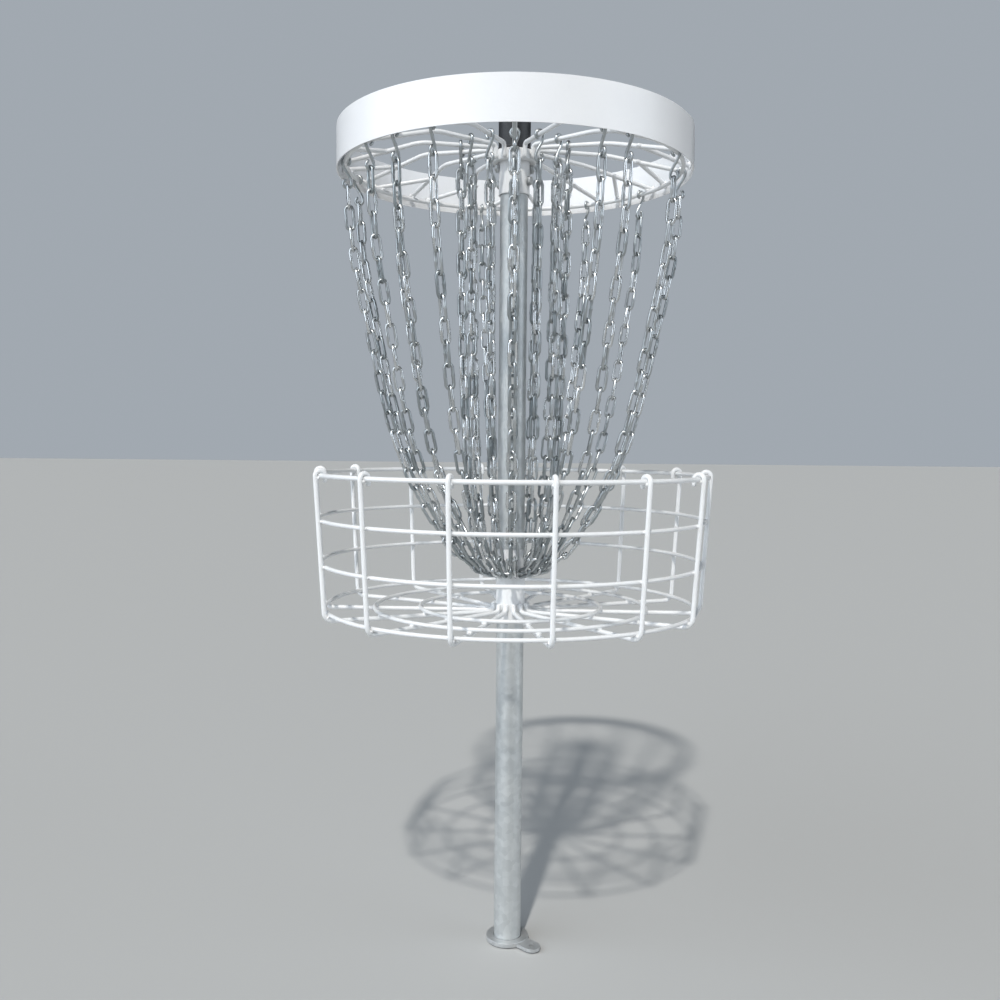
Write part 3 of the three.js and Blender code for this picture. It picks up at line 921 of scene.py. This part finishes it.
def hanging_line(line, top_degrees, foot_degrees):
    """Seen from above, places go straight from the foot to the top as the distance does."""
    share = ((line[:, 0] - line[-1, 0]) / (line[0, 0] - line[-1, 0]))[:, None]
    foot = around(line[-1, 0], foot_degrees, line[:, 1])
    top = around(line[0, 0], top_degrees, line[:, 1])
    return smooth_line(foot + share * (top - foot))


def places_at(path, lengths):
    """Points at given lengths along a path, straight on past its end where a length is more."""
    walked = np.concatenate([[0], np.cumsum(np.linalg.norm(np.diff(path, axis=0), axis=1))])
    found = np.stack([np.interp(lengths, walked, path[:, i]) for i in range(3)], -1)
    beyond = np.maximum(np.asarray(lengths) - walked[-1], 0)[:, None]
    return found + beyond * unit(path[-1] - path[-3]), walked[-1]


RING_RADIUS, RING_HEIGHT, RING_BAR = 0.040, 0.674, 0.003
OUTER_LINE = np.array(
    [(HANGER_RADIUS, HANGER_HEIGHT), (0.281, 1.249), (0.265, 1.159), (0.248, 1.080)]
    + [(0.228, 0.985), (0.203, 0.897), (0.174, 0.826), (0.138, 0.762), (0.105, 0.713)]
    + [(0.074, 0.685), (RING_RADIUS, RING_HEIGHT)]
)
INNER_LINE = np.array(
    [(0.095, ROD_HEIGHT), (0.094, 1.290), (0.092, 1.180), (0.089, 1.060), (0.084, 0.940)]
    + [(0.077, 0.830), (0.068, 0.745), (0.056, 0.700), (RING_RADIUS, RING_HEIGHT)]
)
print("outer chain:", round(places_at(hanging_line(OUTER_LINE, 0, 0), [0])[1], 4), "m")

# %% [markdown]
# One function makes a whole chain: the hook, then every link as copies of one loop, each with its
# own along, across and square directions. The first contact is inside the hook's lower arc and the
# last is under the loose ring.


# %% One chain
rng = np.random.default_rng(7)
HOOK_SINK, HOOK_TONE, HOOK_SIDES, LINK_WOBBLE = 0.0004, 0.35, 8, 4


def chain_skins(line, top_degrees, foot_degrees, links, hook_turn):
    """Hook and links of one chain, and one tone for each point."""
    path = hanging_line(line, top_degrees, foot_degrees)
    first = HOOK_LENGTH + HOOK_ARC - HOOK_BAR
    length = places_at(path, [0])[1]
    pitch = (length + RING_BAR - first) / links
    contacts = places_at(path, first + pitch * np.arange(links + 1))[0]
    middle, down = (contacts[1:] + contacts[:-1]) / 2, unit(contacts[1:] - contacts[:-1])

    flat = unit((path[0] - path[-1]) * [1, 1, 0])
    tangent = np.cross(flat, UP)
    wide = unit(tangent - (down @ tangent)[:, None] * down)
    deep = np.cross(down, wide)
    number = np.arange(links)
    left_over = 90 * rng.choice([-1, 1]) * np.clip((number + 0.5) / links, 0, 1)
    wobble = rng.normal(0, LINK_WOBBLE, links) * (number < links - 1)
    angle = np.radians(hook_turn + 90 + 90 * number + left_over + wobble)
    across = np.cos(angle)[:, None] * wide + np.sin(angle)[:, None] * deep
    square = np.cross(down, across)

    loop, bar = link_loop(pitch)
    loops = middle[:, None] + down[:, None] * loop[:, :1] + across[:, None] * loop[:, 1:]
    links_skin = skin(tube(loops, bar, square[:, None], LINK_SIDES, ring=True), ring=True)

    hook = hook_line()
    fall = unit(contacts[0] - path[0])
    turn = np.radians(hook_turn)
    hook_wide = unit(tangent - (tangent @ fall) * fall)
    hook_across = np.cos(turn) * hook_wide + np.sin(turn) * np.cross(fall, hook_wide)
    hook_path = path[0] - HOOK_SINK * UP - fall * hook[:, :1] + hook_across * hook[:, 1:]
    hook_path, hook_sizes = with_round_ends(hook_path, HOOK_BAR)
    hook_skin = skin(tube(hook_path, hook_sizes, np.cross(fall, hook_across), HOOK_SIDES))

    link_tones = np.repeat(rng.random(links), len(loop) * LINK_SIDES)
    tone = np.concatenate([link_tones, np.full(len(hook_skin[0]), HOOK_TONE)])
    return [links_skin, hook_skin], tone, pitch


print("a chain starts", round(HOOK_LENGTH + HOOK_ARC - HOOK_BAR, 4), "m below its hook's top")


# %% [markdown]
# The outer row hangs from the hanger ring, where its hooks have slid unevenly round. The inner row
# has one chain to each rod, and each foot is half a step further round than its hook. Every lower
# end is on the same small ring.

# %% Both rows
OUTER_HOOKS = [-167, -129, -103, -78, -52, -39, -25, 0, 27, 37, 64, 90, 124, 150]
for i, top_degrees in enumerate(OUTER_HOOKS):
    node = f"outer_chain_{i + 1:02d}"
    skins, tone, pitch = chain_skins(OUTER_LINE, top_degrees, STEP * (i - 7), 21, 90)
    make_piece(node + "_links", skins, chain_zinc, body=node, nodes=[node], tone=tone)
print("outer pitch", round(pitch * 1000, 2), "mm")

for i, degrees in enumerate(ROD_DEGREES):
    node = f"inner_chain_{i + 1:02d}"
    skins, tone, pitch = chain_skins(INNER_LINE, degrees, degrees + STEP / 2, 20, 0)
    make_piece(node + "_links", skins, chain_zinc, body=node, nodes=[node], tone=tone)
print("inner pitch", round(pitch * 1000, 2), "mm")

loose_ring = hoop(RING_RADIUS, RING_BAR, RING_HEIGHT, stations=72, sides=10)
tone = np.full(len(loose_ring[0]), 0.6)
make_piece("loose_ring", [loose_ring], chain_zinc, nodes=["chain_ring"], tone=tone)

# %% [markdown]
# ## Light and floor
# A plain pale floor and a key light from high at the front, a little to the left, give the wires a
# clear lit side and a soft shadow. The surround is dark, with two soft glows in it: a large one at
# the front left and a narrow one at the right. Bright metal shows what is round it, so they put
# long highlights on the chains and the pole and leave the edges dark. The camera itself sees the
# surround as one even tone.

# %% The stage
FAR = 40  # half the floor's width in metres
floor_corners = [(-FAR, -FAR, 0), (FAR, -FAR, 0), (FAR, FAR, 0), (-FAR, FAR, 0)]
floor_mesh = bpy.data.meshes.new("floor")
floor_mesh.from_pydata(floor_corners, [], [(0, 1, 2, 3)])
floor_finish, tree, shader = new_finish("pale_floor", Roughness=0.85)
shader["Base Color"].default_value = (0.50, 0.505, 0.50, 1.0)
floor_mesh.materials.append(floor_finish)
floor = bpy.data.objects.new("floor", floor_mesh)
bpy.context.scene.collection.objects.link(floor)

world = bpy.data.worlds.new("surround")
world.use_nodes = True
surround, background = world.node_tree, world.node_tree.nodes["Background"]
way = add(surround, "ShaderNodeTexCoord").outputs["Generated"]


def glow(towards, edge, core, power):
    """Power x smoothstep of the cosine between a direction and the one given, from edge to core."""
    both = {0: way, 1: tuple(unit(np.array(towards, float)))}
    cosine = add(surround, "ShaderNodeVectorMath", both, operation="DOT_PRODUCT").outputs["Value"]
    ends = {"Value": cosine, "From Min": edge, "From Max": core, "To Max": power}
    return add(surround, "ShaderNodeMapRange", ends, interpolation_type="SMOOTHSTEP").outputs[0]


DARK_LEVEL, SEEN_LEVEL = 0.08, 0.46
left_glow = glow((-0.80, -0.50, 0.35), edge=0.68, core=0.90, power=2.3)
right_glow = glow((0.95, -0.30, 0.20), edge=0.88, core=0.97, power=2.5)
light = calculate(surround, "ADD", DARK_LEVEL, left_glow)
light = calculate(surround, "ADD", light, right_glow)
seen = add(surround, "ShaderNodeLightPath").outputs["Is Camera Ray"]
shown = {0: seen, 2: light, 3: SEEN_LEVEL}
light = add(surround, "ShaderNodeMix", shown, data_type="FLOAT").outputs[0]
background.inputs["Color"].default_value = (0.78, 0.86, 0.95, 1.0)
surround.links.new(light, background.inputs["Strength"])
bpy.context.scene.world = world

sun = bpy.data.lights.new("key", "SUN")
sun.energy, sun.angle, sun.color = 2.2, np.radians(2.5), (1.0, 0.97, 0.92)
key = bpy.data.objects.new("key", sun)
key.rotation_euler = (np.radians(40), 0, np.radians(-11))
bpy.context.scene.collection.objects.link(key)
bpy.context.scene.view_settings.view_transform = "Standard"
